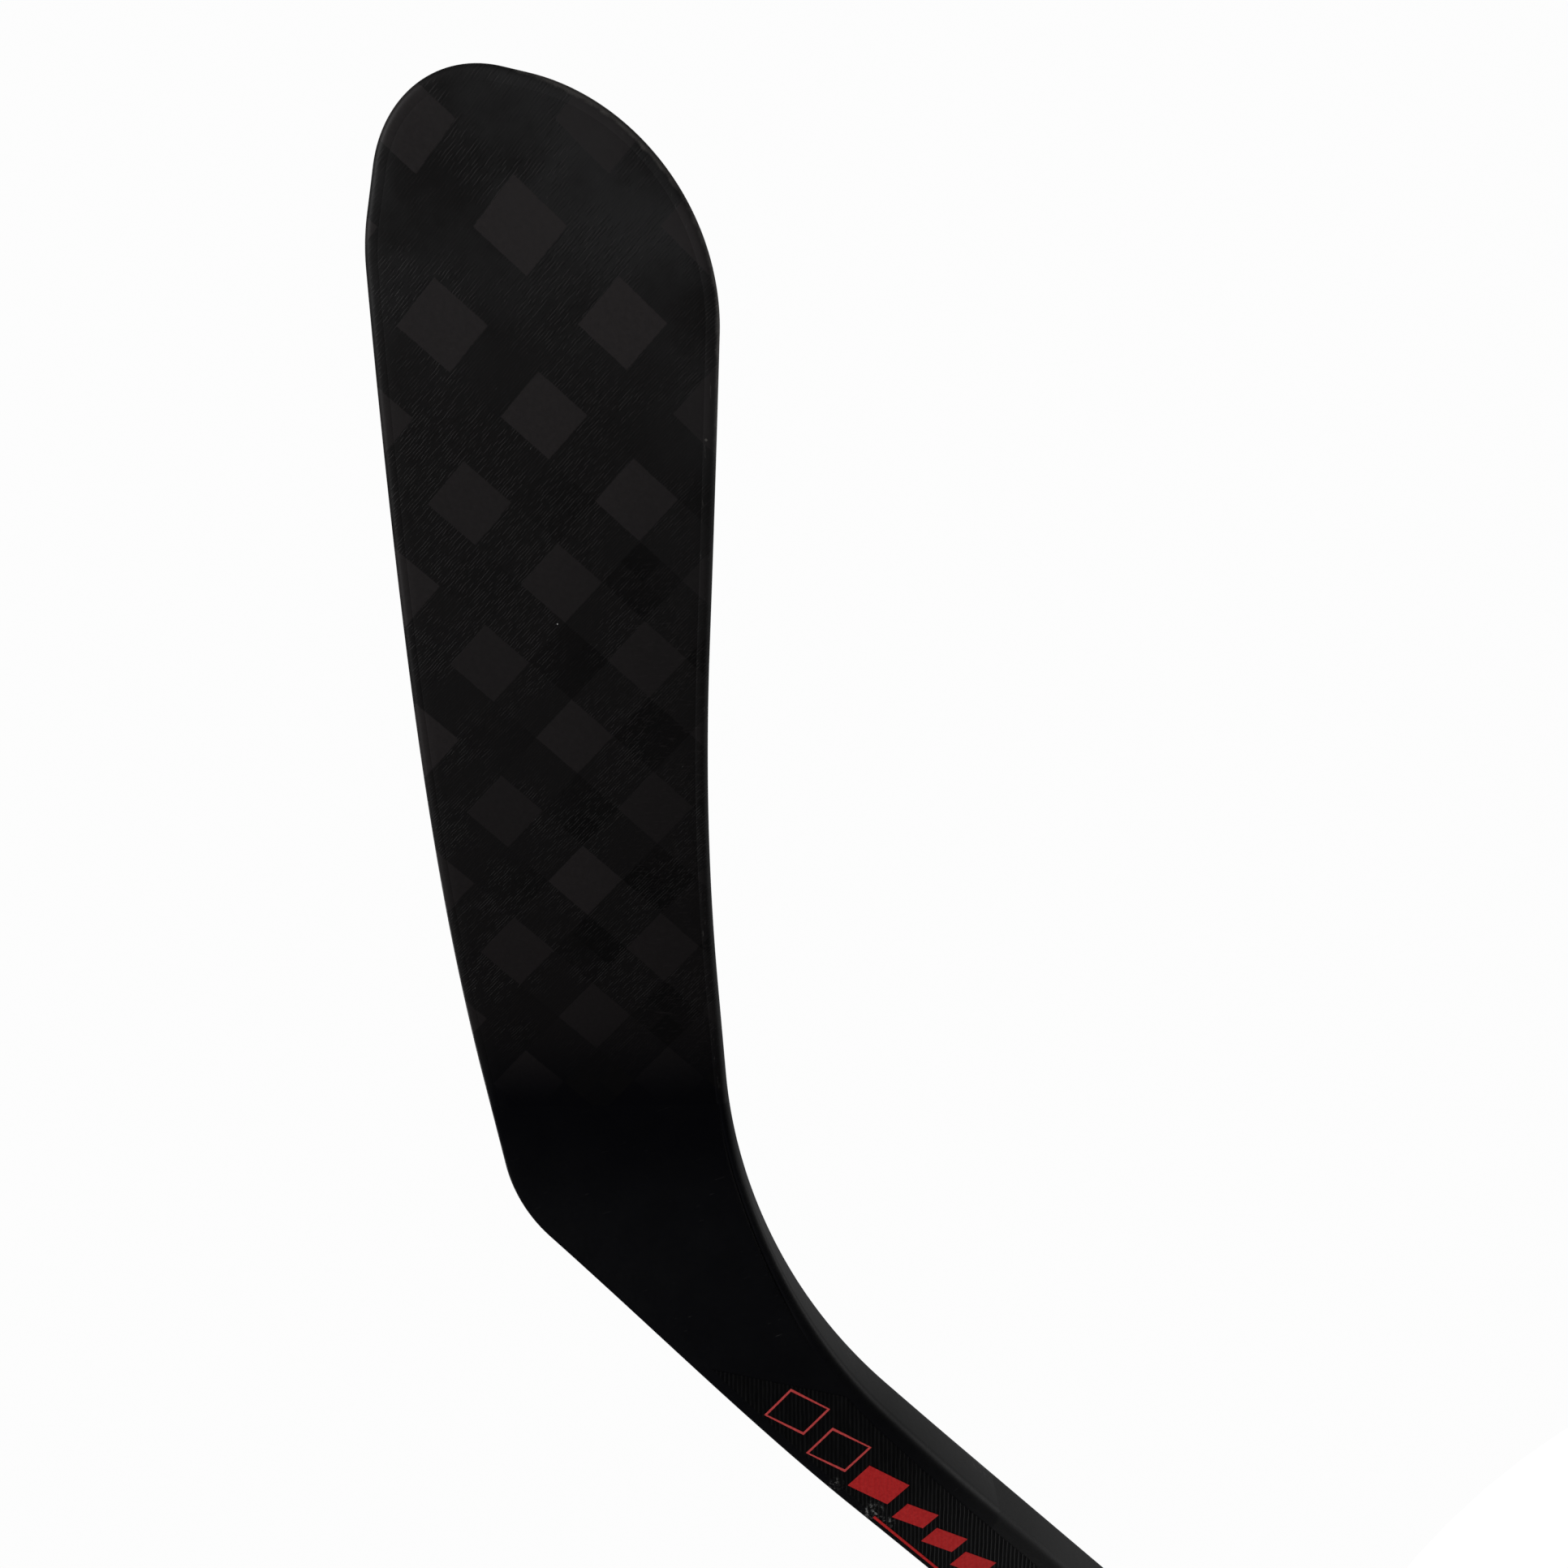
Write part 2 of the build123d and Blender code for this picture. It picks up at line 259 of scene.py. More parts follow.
# ---------------------------------------------------------------- mesh builders
def add_piece(name, points, faces, replaced, sharp_angle=35):
    """One closed mesh that rides on the stick, with its pattern coordinates stored on its vertices."""
    mesh = bpy.data.meshes.new(name)
    mesh.from_pydata([tuple(p) for p in points], [], faces)
    work = bmesh.new()
    work.from_mesh(mesh)
    bmesh.ops.recalc_face_normals(work, faces=work.faces)
    work.to_mesh(mesh)
    work.free()
    mesh.shade_smooth()
    mesh.set_sharp_from_angle(angle=math.radians(sharp_angle))
    offset = np.asarray(points) - BLADE_ORIGIN
    x = offset @ ALONG
    pattern = np.column_stack((np.interp(x, ARC_X, ARC_S), offset @ ACROSS, offset @ FRONT))
    attribute = mesh.attributes.new("pattern", "FLOAT_VECTOR", "POINT")
    attribute.data.foreach_set("vector", pattern.astype(np.float32).ravel())
    inset = [EDGE_TREE.find((a, b, 0))[2] for a, b in zip(x, pattern[:, 1])]
    attribute = mesh.attributes.new("inset", "FLOAT", "POINT")
    attribute.data.foreach_set("value", inset)
    piece = bpy.data.objects.new(name, mesh)
    bpy.context.scene.collection.objects.link(piece)
    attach(piece, "root")
    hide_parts(*replaced)
    return piece


def grid_faces(rows, columns, closed_rows=False, closed_columns=False):
    """Quads of a grid whose points are numbered row by row."""
    faces = []
    for i in range(rows if closed_rows else rows - 1):
        for j in range(columns if closed_columns else columns - 1):
            below = (i + 1) % rows
            right = (j + 1) % columns
            faces.append((i * columns + j, i * columns + right, below * columns + right, below * columns + j))
    return faces


def slab(flat, faces, top, under):
    """Closed plate: points and faces of a flat layout, given two heights, with walls round every edge."""
    count = len(flat)
    points = np.vstack((place(flat[:, 0], flat[:, 1], top), place(flat[:, 0], flat[:, 1], under)))
    edges = {(a, b) for face in faces for a, b in zip(face, face[1:] + face[:1])}
    walls = [(b, a, a + count, b + count) for a, b in edges if (b, a) not in edges]
    bottoms = [tuple(i + count for i in reversed(face)) for face in faces]
    return points, list(faces) + bottoms + sorted(walls)


def tube(outer, inner):
    """Closed tube from outer and inner loops, each an array of stations by points."""
    stations, around = outer.shape[:2]
    count = stations * around
    points = np.vstack((outer.reshape(-1, 3), inner.reshape(-1, 3)))
    faces = grid_faces(stations, around, closed_columns=True)
    faces += [tuple(i + count for i in reversed(face)) for face in faces]
    for start in (0, count - around):
        for j in range(around):
            after = (j + 1) % around
            faces.append((start + j, start + after, start + after + count, start + j + count))
    return points, faces


# ---------------------------------------------------------------- blade
RIM_STEPS = 7


def groove_depth(x):
    """Depth of the line between rim and face: a deep crevice in the elbow, a fine line along the blade."""
    elbow = ease((x + 204 * MM) / (26 * MM)) * ease((-118 * MM - x) / (26 * MM))
    return (GROOVE + CREVICE * elbow) * ease((x + 208 * MM) / (16 * MM))


def rim_section():
    """Inset, drop and groove share of each point across the rim, from the face in to the edge."""
    section = [(EDGE_BAND, 0, 1), (EDGE_BAND - BEVEL / 2, 0, 0.55), (EDGE_BAND - BEVEL, 0, 0)]
    for angle in np.linspace(math.pi / 2, 0, RIM_STEPS):
        section.append((RIM_RADIUS * (1 - math.cos(angle)), RIM_RADIUS * (1 - math.sin(angle)), 0))
    return section


def make_rim():
    """Laminate that closes the sole, toe and top edge, rounded, with a fine line where the faces start."""
    loops = []
    for inset, drop, share in rim_section():
        flat = blade_ring(inset)
        x, t = flat.T
        loops.append(place(x, t, forehand(x, t) - drop - share * groove_depth(x)))
    x, t = blade_ring(0).T
    top, bottom = forehand(x, t) - RIM_RADIUS, backhand(x, t) + RIM_RADIUS
    for share in (0.35, 0.65):
        loops.append(place(x, t, top + share * (bottom - top)))
    for inset, drop, share in reversed(rim_section()):
        flat = blade_ring(inset)
        x, t = flat.T
        loops.append(place(x, t, backhand(x, t) + drop + share * groove_depth(x)))
    rows = len(loops)
    faces = grid_faces(rows, RING_COUNT, closed_rows=True)
    faces.append(tuple(i * RING_COUNT for i in range(rows)))
    faces.append(tuple((i + 1) * RING_COUNT - 1 for i in reversed(range(rows))))
    return add_piece("blade_rim", np.vstack(loops), faces, ["blade_edge_band"])


def anticlockwise(points, faces):
    """The same flat faces, all numbered the same way round."""
    turned = []
    for face in faces:
        here = points[list(face)]
        after = np.roll(here, -1, axis=0)
        area = np.sum(here[:, 0] * after[:, 1] - here[:, 1] * after[:, 0])
        turned.append(tuple(face) if area > 0 else tuple(reversed(face)))
    return turned


def face_layout():
    """Flat points and faces of a blade face inside the rim, fine along its border, and each point's bevel."""
    border = blade_ring(EDGE_BAND)
    inner = blade_ring(EDGE_BAND + BEVEL)
    heel_count = math.ceil(abs(inner[-1, 1] - inner[0, 1]) / GRID_STEP)
    heel_t = np.linspace(inner[-1, 1], inner[0, 1], heel_count + 1)[1:-1]
    heel = np.column_stack((np.full(len(heel_t), HEEL_LINE), heel_t))
    fence = np.vstack((inner, heel))
    low, high = fence.min(0), fence.max(0)
    x, t = np.meshgrid(np.arange(low[0], high[0], GRID_STEP), np.arange(low[1], high[1], GRID_STEP))
    spots = np.column_stack((x.ravel(), t.ravel()))
    ahead = np.roll(fence, -1, axis=0)
    clear = np.full(len(spots), np.inf)
    crossings = np.zeros(len(spots), int)
    for a, b in zip(fence, ahead):
        clear = np.minimum(clear, np.linalg.norm(spots - a, axis=1))
        spans = (a[1] > spots[:, 1]) != (b[1] > spots[:, 1])
        rise = b[1] - a[1] if b[1] != a[1] else 1
        cut = a[0] + (spots[:, 1] - a[1]) * (b[0] - a[0]) / rise
        crossings += spans & (spots[:, 0] < cut)
    kept = spots[(crossings % 2 == 1) & (clear > GRID_MARGIN)]
    seeds = [Vector(p) for p in np.vstack((fence, kept))]
    verts, _, triangles, _, _, _ = delaunay_2d_cdt(seeds, [], [list(range(len(fence)))], 1, WELD)
    flat = np.array([tuple(v) for v in verts])
    nearest = [int(np.argmin(np.linalg.norm(flat - p, axis=1))) for p in inner]
    faces = []
    for a, b, c, d in grid_faces(2, RING_COUNT):
        faces.append((a, b, nearest[c - RING_COUNT] + RING_COUNT, nearest[d - RING_COUNT] + RING_COUNT))
    faces += [tuple(i + RING_COUNT for i in face) for face in triangles]
    points = np.vstack((border, flat))
    bevel = np.append(np.ones(len(border)), np.zeros(len(flat)))
    return points, anticlockwise(points, faces), bevel


def make_faces():
    """The two patterned faces of the blade, each a plate with its ply and skin in one."""
    flat, faces, bevel = face_layout()
    x, t = flat.T
    sunk = bevel * groove_depth(x)
    sides = {
        "forehand": (forehand(x, t), -1),
        "backhand": (backhand(x, t), 1),
    }
    made = []
    for side, (height, inward) in sides.items():
        points, mesh_faces = slab(flat, faces, height + inward * sunk, height + inward * FACE_DEPTH)
        replaced = [f"blade_{side}_ply", f"blade_{side}_skin"]
        made.append(add_piece(f"blade_face_{side}", points, mesh_faces, replaced))
    return made


# ---------------------------------------------------------------- hosel and shaft
ARC_STEPS = 8
FACE_STEPS = 16
HOSEL_STATIONS = 110
SHAFT_STATIONS = 40
CREVICE_PLACES = ((1.5, 0), (1.2, 0.1), (0.95, 0.6), (0.75, 1), (0.55, 0.6), (0.3, 0.1))


def corner_radius(u):
    """Rounding of the long edges: the shaft's at the joint, the blade's at the heel."""
    return SHAFT_CORNER + (RIM_RADIUS - SHAFT_CORNER) * ease((u - 0.08) / 0.72)


def section_loop(sole, top, skew, radius, wall=0.0):
    """One closed loop round hosel or shaft between its sole-side and top-side outline points."""
    span = np.linalg.norm(top - sole)
    direction = (top - sole) / span
    arc = np.linspace(0, math.pi / 2, ARC_STEPS)
    insets = wall + radius * (1 - np.cos(arc))
    drops = wall + radius * (1 - np.sin(arc))
    low_v, high_v = insets / skew[0], span - insets / skew[1]
    line_v = [high_v[-1] - place_out * MM / skew[1] for place_out, _ in CREVICE_PLACES]
    plain_v = np.linspace(low_v[-1], line_v[0], FACE_STEPS + 1)[1:-1]
    v = np.concatenate((low_v, plain_v, line_v, high_v[::-1]))
    flat_count = len(plain_v) + len(line_v)
    drop = np.concatenate((drops, np.full(flat_count, wall), drops[::-1]))
    shares = [share for _, share in CREVICE_PLACES]
    line = np.concatenate((np.zeros(ARC_STEPS + len(plain_v)), shares, np.zeros(ARC_STEPS)))
    x, t = (sole + v[:, None] * direction).T
    front = forehand(x, t) - drop
    if not wall:
        front = front - line * groove_depth(x)
    back = backhand(x, t) + drop
    middle = (front[-1] + back[-1]) / 2
    low_middle = (front[0] + back[0]) / 2
    side = place(x[-1:], t[-1:], middle)
    low_side = place(x[:1], t[:1], low_middle)
    return np.vstack((place(x, t, front), side, place(x, t, back)[::-1], low_side))


def hosel_sections():
    """Outline points, skew and rounding of each section from the square joint to the heel cut."""
    sole, top = before_line(OUTLINE, HEEL_LINE)
    sole = resample(sole, HOSEL_STATIONS)
    top = resample(top, HOSEL_STATIONS)
    sections = []
    for i in range(HOSEL_STATIONS):
        direction = (top[i] - sole[i]) / np.linalg.norm(top[i] - sole[i])
        skew = []
        for curve in (sole, top):
            step = curve[min(i + 1, HOSEL_STATIONS - 1)] - curve[max(i - 1, 0)]
            step /= np.linalg.norm(step)
            skew.append(abs(direction[0] * step[1] - direction[1] * step[0]))
        sections.append((sole[i], top[i], skew, corner_radius(i / (HOSEL_STATIONS - 1))))
    return sections


def make_hosel():
    """Tapered elbow between shaft and blade, hollow, with rounded edges and a crevice on its inner bend."""
    outer = []
    inner = []
    for sole, top, skew, radius in hosel_sections():
        outer.append(section_loop(sole, top, skew, radius))
        inner.append(section_loop(sole, top, skew, max(radius - HOSEL_WALL, MM), HOSEL_WALL))
    points, faces = tube(np.array(outer), np.array(inner))
    return add_piece("hosel", points, faces, ["hosel_shell"])


def make_shaft():
    """Hollow rectangular shaft with rounded corners."""
    outer = []
    inner = []
    for height in np.linspace(CAP_HEIGHT, JOINT_HEIGHT, SHAFT_STATIONS):
        sole = np.array(on_shaft(-HALF_WIDTH, height))
        top = np.array(on_shaft(HALF_WIDTH, height))
        outer.append(section_loop(sole, top, (1, 1), SHAFT_CORNER))
        inner.append(section_loop(sole, top, (1, 1), SHAFT_CORNER - SHAFT_WALL, SHAFT_WALL))
    points, faces = tube(np.array(outer), np.array(inner))
    return add_piece("shaft", points, faces, ["shaft_tube"])


# ---------------------------------------------------------------- butt plug
PLUG_INSERT = 50 * MM
PLUG_EDGE = 1 * MM
PLUG_LIP = 0.35 * MM
PLUG_DISH = 0.8 * MM
PLUG_FOOT = 3 * MM
BOND_GAP = 0.05 * MM


def rounded_loop(inset, height):
    """Rounded rectangle round the shaft's axis at one height."""
    half_x, half_y = HALF_WIDTH - inset, HALF_DEPTH - inset
    radius = max(SHAFT_CORNER - inset, 0.6 * MM)
    points = []
    for corner, (side_x, side_y) in enumerate(((1, 1), (-1, 1), (-1, -1), (1, -1))):
        centre = (side_x * (half_x - radius), side_y * (half_y - radius))
        for angle in np.linspace(corner, corner + 1, ARC_STEPS) * math.pi / 2:
            across, through = radius * math.cos(angle), radius * math.sin(angle)
            points.append((centre[0] + across, centre[1] + through, height))
    return points


def make_plug():
    """Moulded end cap: dished foot, rounded lower edge, a thin lip under the shaft and a glued insert."""
    insert = SHAFT_WALL + BOND_GAP
    profile = [
        (PLUG_FOOT + PLUG_DISH, PLUG_DISH),
        (PLUG_FOOT, PLUG_DISH * 0.8),
        (PLUG_FOOT - PLUG_LIP, 0.0),
    ]
    for angle in np.linspace(0, math.pi / 2, ARC_STEPS):
        profile.append((PLUG_EDGE * (1 - math.sin(angle)), PLUG_EDGE * (1 - math.cos(angle))))
    profile += [
        (0.0, CAP_HEIGHT - 2 * PLUG_LIP),
        (PLUG_LIP, CAP_HEIGHT - PLUG_LIP),
        (PLUG_LIP, CAP_HEIGHT),
        (insert, CAP_HEIGHT),
        (insert, CAP_HEIGHT + PLUG_INSERT - PLUG_EDGE),
        (insert + PLUG_EDGE, CAP_HEIGHT + PLUG_INSERT),
    ]
    loops = [rounded_loop(inset, height) for inset, height in profile]
    around = len(loops[0])
    faces = grid_faces(len(loops), around, closed_columns=True)
    faces.append(tuple(range(around)))
    faces.append(tuple(reversed(range((len(loops) - 1) * around, len(loops) * around))))
    return add_piece("butt_cap", np.vstack(loops), faces, ["butt_plug"])


# ---------------------------------------------------------------- film and red marks
FILM_ROWS = 70
FILM_COLUMNS = 16
FILM_INSET = SHAFT_CORNER
SIDES = {
    "forehand": (forehand, 1),
    "backhand": (backhand, -1),
}


def film_layout():
    """Flat grid of the film from its lower end up the shaft and hosel to the seam across the heel."""
    leaning = inset_curve(FILM_INSET)
    leaning[:, 0] += leaning[:, 1] * SEAM_SLOPE
    sole, top = before_line(leaning, SEAM_X)
    for curve in (sole, top):
        curve[:, 0] -= curve[:, 1] * SEAM_SLOPE
    sole = resample(sole, FILM_ROWS)
    top = resample(top, FILM_ROWS)
    straight = np.linspace(FILM_LOW, JOINT_HEIGHT, FILM_ROWS)[:-1]
    side_x = HALF_WIDTH - FILM_INSET
    sole = np.vstack((np.column_stack(on_shaft(-side_x, straight)), sole))
    top = np.vstack((np.column_stack(on_shaft(side_x, straight)), top))
    share = np.linspace(0, 1, FILM_COLUMNS)[None, :, None]
    flat = sole[:, None] + share * (top - sole)[:, None]
    return flat.reshape(-1, 2), grid_faces(len(sole), FILM_COLUMNS)


DECAL_HEIGHT = BLADE_HEIGHT - 176 * MM
DECAL_SHIFT = -2.2 * MM
BAR_LEAN = 3.5 * MM
INK_LINE = 0.6 * MM
OUTLINED_WIDTH = 11 * MM
OUTLINED_HEIGHT = 12.5 * MM
OUTLINED_DROPS = (17.5 * MM, 34.5 * MM)
SOLID_WIDTH = 9 * MM
SOLID_HEIGHT = 13 * MM
SOLID_DROP = 51 * MM
SMALL_WIDTH = 6.5 * MM
SMALL_HEIGHT = 9.5 * MM
SMALL_DROPS = (66.5 * MM, 79 * MM, 91.5 * MM)
BAR_STEPS = 8


def bar_points(shares, width, height, drop):
    """Blade coordinates of places in a slanted bar, from shares of its half width and half height."""
    across, down = shares.T
    side_x = DECAL_SHIFT + across * width / 2 + down * BAR_LEAN / 2
    return np.column_stack(on_shaft(side_x, DECAL_HEIGHT - drop - down * height / 2))


def solid_bar(width, height, drop):
    """Flat grid of one solid slanted bar."""
    steps = np.linspace(-1, 1, BAR_STEPS)
    across, down = np.meshgrid(steps, steps)
    shares = np.column_stack((across.ravel(), down.ravel()))
    return bar_points(shares, width, height, drop), grid_faces(BAR_STEPS, BAR_STEPS)


def outlined_bar(drop):
    """Flat ring of one outlined slanted bar."""
    steps = np.linspace(-1, 1, BAR_STEPS)[:-1]
    ones = np.ones(len(steps))
    sides = ((steps, -ones), (ones, steps), (-steps, ones), (-ones, -steps))
    shares = np.vstack([np.column_stack(side) for side in sides])
    outer = bar_points(shares, OUTLINED_WIDTH, OUTLINED_HEIGHT, drop)
    inner = bar_points(shares, OUTLINED_WIDTH - 2 * INK_LINE, OUTLINED_HEIGHT - 2 * INK_LINE, drop)
    return np.vstack((outer, inner)), grid_faces(2, len(outer), closed_columns=True)


def gather(parts):
    """Several flat layouts as one."""
    flats = []
    faces = []
    count = 0
    for flat, part_faces in parts:
        flats.append(flat)
        faces += [tuple(i + count for i in face) for face in part_faces]
        count += len(flat)
    return np.vstack(flats), faces


PINSTRIPE_X = -10.9 * MM
PINSTRIPE_WIDTH = 0.9 * MM
PINSTRIPE_TOP = DECAL_HEIGHT - 58 * MM
PINSTRIPE_LOW = DECAL_HEIGHT - 118 * MM
PINSTRIPE_ROWS = 24
PINSTRIPE_COLUMNS = 4


def make_pinstripe():
    """Thin red line that follows the rounding beside the sole-side edge."""
    side_x, height = np.meshgrid(
        np.linspace(PINSTRIPE_X - PINSTRIPE_WIDTH / 2, PINSTRIPE_X + PINSTRIPE_WIDTH / 2, PINSTRIPE_COLUMNS),
        np.linspace(PINSTRIPE_LOW, PINSTRIPE_TOP, PINSTRIPE_ROWS),
    )
    side_x, height = side_x.ravel(), height.ravel()
    sole_length = lengths(before_line(OUTLINE, HEEL_LINE)[0])[-1]
    radius = corner_radius((height - JOINT_HEIGHT) / sole_length)
    inward = np.clip(radius - HALF_WIDTH - side_x, 0, None)
    drop = radius - np.sqrt(radius**2 - inward**2)
    x, t = on_shaft(side_x, height)
    surface = forehand(x, t) - drop
    faces = grid_faces(PINSTRIPE_ROWS, PINSTRIPE_COLUMNS)
    points, mesh_faces = slab(np.column_stack((x, t)), faces, surface + INK_PROUD, surface - FILM_SUNK)
    return add_piece("pinstripe_line", points, mesh_faces, ["pinstripe"])


def make_prints():
    """Ribbed films and red marks on both wide faces."""
    film_flat, film_faces = film_layout()
    outlined = gather([outlined_bar(drop) for drop in OUTLINED_DROPS])
    solid = gather(
        [solid_bar(SOLID_WIDTH, SOLID_HEIGHT, SOLID_DROP)]
        + [solid_bar(SMALL_WIDTH, SMALL_HEIGHT, drop) for drop in SMALL_DROPS]
    )
    prints = {
        "film": (film_flat, film_faces, FILM_PROUD, "film"),
        "decal_outlined": (*outlined, INK_PROUD, "outline_ink"),
        "decal_solid": (*solid, INK_PROUD, "solid_ink"),
    }
    made = {}
    for side, (height, outward) in SIDES.items():
        for name, (flat, faces, proud, slot) in prints.items():
            surface = height(*flat.T)
            points, mesh_faces = slab(flat, faces, surface + outward * proud, surface - outward * FILM_SUNK)
            piece = add_piece(f"{name}_{side}", points, mesh_faces, [f"{side}_{name}"])
            made.setdefault(name, []).append(piece)
    return made


# ---------------------------------------------------------------- node writing
class Wire:
    """A socket that sums can be written on: each step adds one Math node."""

    def __init__(self, tree, socket):
        self.tree = tree
        self.socket = socket

    def math(self, operation, *others, clamp=False):
        node = self.tree.nodes.new("ShaderNodeMath")
        node.operation = operation
        node.use_clamp = clamp
        for slot, value in zip(node.inputs, (self, *others)):
            if isinstance(value, Wire):
                self.tree.links.new(value.socket, slot)
            else:
                slot.default_value = value
        return Wire(self.tree, node.outputs[0])

    def __add__(self, other):
        return self.math("ADD", other)

    def __sub__(self, other):
        return self.math("SUBTRACT", other)

    def __mul__(self, other):
        return self.math("MULTIPLY", other)

    def zigzag(self, size=1.0):
        """Distance to the nearest even multiple of size."""
        return self.math("PINGPONG", size)

    def inverted(self):
        """One minus this."""
        return (self * -1) + 1

    def ramp(self, low, high):
        """0 at low and 1 at high, eased between."""
        node = self.tree.nodes.new("ShaderNodeMapRange")
        node.interpolation_type = "SMOOTHSTEP"
        node.clamp = True
        node.inputs["From Min"].default_value = low
        node.inputs["From Max"].default_value = high
        self.tree.links.new(self.socket, node.inputs["Value"])
        return Wire(self.tree, node.outputs["Result"])


class Look:
    """A material while it is being written, with the blade's own coordinates or the row's."""

    def __init__(self, name, roughness, specular, own=True):
        self.material = bpy.data.materials.new(name)
        self.material.use_nodes = True
        self.tree = self.material.node_tree
        self.shader = self.tree.nodes["Principled BSDF"]
        self.shader.inputs["Roughness"].default_value = roughness
        self.shader.inputs["Specular IOR Level"].default_value = specular
        if own:
            self.where = self.attribute("pattern").outputs["Vector"]
            self.inset = Wire(self.tree, self.attribute("inset").outputs["Fac"])
        else:
            source = self.tree.nodes.new("ShaderNodeTexCoord")
            self.where = source.outputs["Object"]
        parts = self.tree.nodes.new("ShaderNodeSeparateXYZ")
        self.tree.links.new(self.where, parts.inputs[0])
        self.s, self.t, self.n = (Wire(self.tree, output) for output in parts.outputs)

    def attribute(self, name):
        """Node that reads a value stored on the vertices."""
        node = self.tree.nodes.new("ShaderNodeAttribute")
        node.attribute_name = name
        return node

    def vector(self, *parts):
        """A vector from three values."""
        node = self.tree.nodes.new("ShaderNodeCombineXYZ")
        for slot, value in zip(node.inputs, parts):
            if isinstance(value, Wire):
                self.tree.links.new(value.socket, slot)
            else:
                slot.default_value = value
        return node.outputs[0]

    def noise(self, size, detail=2.0, rough=0.5, where=None):
        """Noise with features of one size, in metres, or in the units of the vector given."""
        node = self.tree.nodes.new("ShaderNodeTexNoise")
        node.inputs["Scale"].default_value = 1 / size
        node.inputs["Detail"].default_value = detail
        node.inputs["Roughness"].default_value = rough
        self.tree.links.new(where or self.where, node.inputs["Vector"])
        return Wire(self.tree, node.outputs[0])

    def streaks(self, angle, length, width, detail=2.0):
        """Noise stretched along a direction in the face, given in degrees from t towards s."""
        turn = math.radians(angle)
        along = (self.t * math.cos(turn) + self.s * math.sin(turn)) * (1 / length)
        across = (self.s * math.cos(turn) - self.t * math.sin(turn)) * (1 / width)
        return self.noise(1, detail, where=self.vector(along, across, self.n * (1 / length)))

    def random_cell(self, first, second):
        """A random value for each pair of whole numbers."""
        node = self.tree.nodes.new("ShaderNodeTexWhiteNoise")
        node.noise_dimensions = "2D"
        self.tree.links.new(self.vector(first, second, 0.0), node.inputs["Vector"])
        return Wire(self.tree, node.outputs["Value"])

    def specks(self, spacing, radius, share):
        """Small round marks in a share of the cells of a given spacing."""
        cells = self.tree.nodes.new("ShaderNodeTexVoronoi")
        cells.inputs["Scale"].default_value = 1 / spacing
        self.tree.links.new(self.where, cells.inputs["Vector"])
        chance = self.tree.nodes.new("ShaderNodeSeparateColor")
        self.tree.links.new(cells.outputs["Color"], chance.inputs[0])
        chosen = Wire(self.tree, chance.outputs[0]).math("LESS_THAN", share)
        size = Wire(self.tree, chance.outputs[1]) * (radius / spacing)
        ragged = Wire(self.tree, cells.outputs["Distance"]) + self.noise(radius) * (radius / spacing)
        return ragged.math("LESS_THAN", size + radius / spacing * 0.6) * chosen

    def blend(self, share, low, high):
        """Colour between two, each a plain colour or a colour socket."""
        node = self.tree.nodes.new("ShaderNodeMix")
        node.data_type = "RGBA"
        self.tree.links.new(share.socket, node.inputs[0])
        for slot, value in ((node.inputs[6], low), (node.inputs[7], high)):
            if isinstance(value, tuple):
                slot.default_value = (*value, 1)
            else:
                self.tree.links.new(value, slot)
        return node.outputs[2]

    def colour(self, socket):
        """Sets the surface colour."""
        self.tree.links.new(socket, self.shader.inputs["Base Color"])

    def roughness(self, wire):
        """Sets the roughness."""
        self.tree.links.new(wire.socket, self.shader.inputs["Roughness"])

    def specular(self, wire):
        """Sets the strength of the reflections."""
        self.tree.links.new(wire.socket, self.shader.inputs["Specular IOR Level"])

    def bump(self, height, distance):
        """Sets the relief, its height given in shares of a distance."""
        node = self.tree.nodes.new("ShaderNodeBump")
        node.inputs["Distance"].default_value = distance
        node.inputs["Strength"].default_value = 1.0
        self.tree.links.new(height.socket, node.inputs["Height"])
        self.tree.links.new(node.outputs[0], self.shader.inputs["Normal"])

    def wear(self, *pieces):
        """Puts the material on pieces."""
        for piece in pieces:
            piece.data.materials.clear()
            piece.data.materials.append(self.material)


# ---------------------------------------------------------------- materials
TOW = 19.4 * MM
TOW_TURN = math.radians(0.95)
TOW_SHIFT = 0.07 * MM
TOW_EDGE = 0.012
WEAVE_ANGLE = 45
WEAVE_PITCH = 0.62 * MM
WEAVE_LENGTH = 2.4 * MM

# Each pair holds the tone at the heel, then a lighter one at the toe; the lighter toe tone is painted light.
LIGHT_TOWS_SHADED_TO_LIT = ((0.0190, 0.0165, 0.0170), (0.0385, 0.0345, 0.0352))
BASE_TOWS_SHADED_TO_LIT = ((0.0078, 0.0071, 0.0073), (0.0136, 0.0130, 0.0131))
DARK_TOW = (0.0040, 0.0038, 0.0039)
HEEL_TONES = ((0.0014, 0.0014, 0.0024), (0.0026, 0.0026, 0.0036))
CLOUD_GREY = (0.034, 0.034, 0.0348)
SCUFF_WHITE = (0.45, 0.45, 0.44)


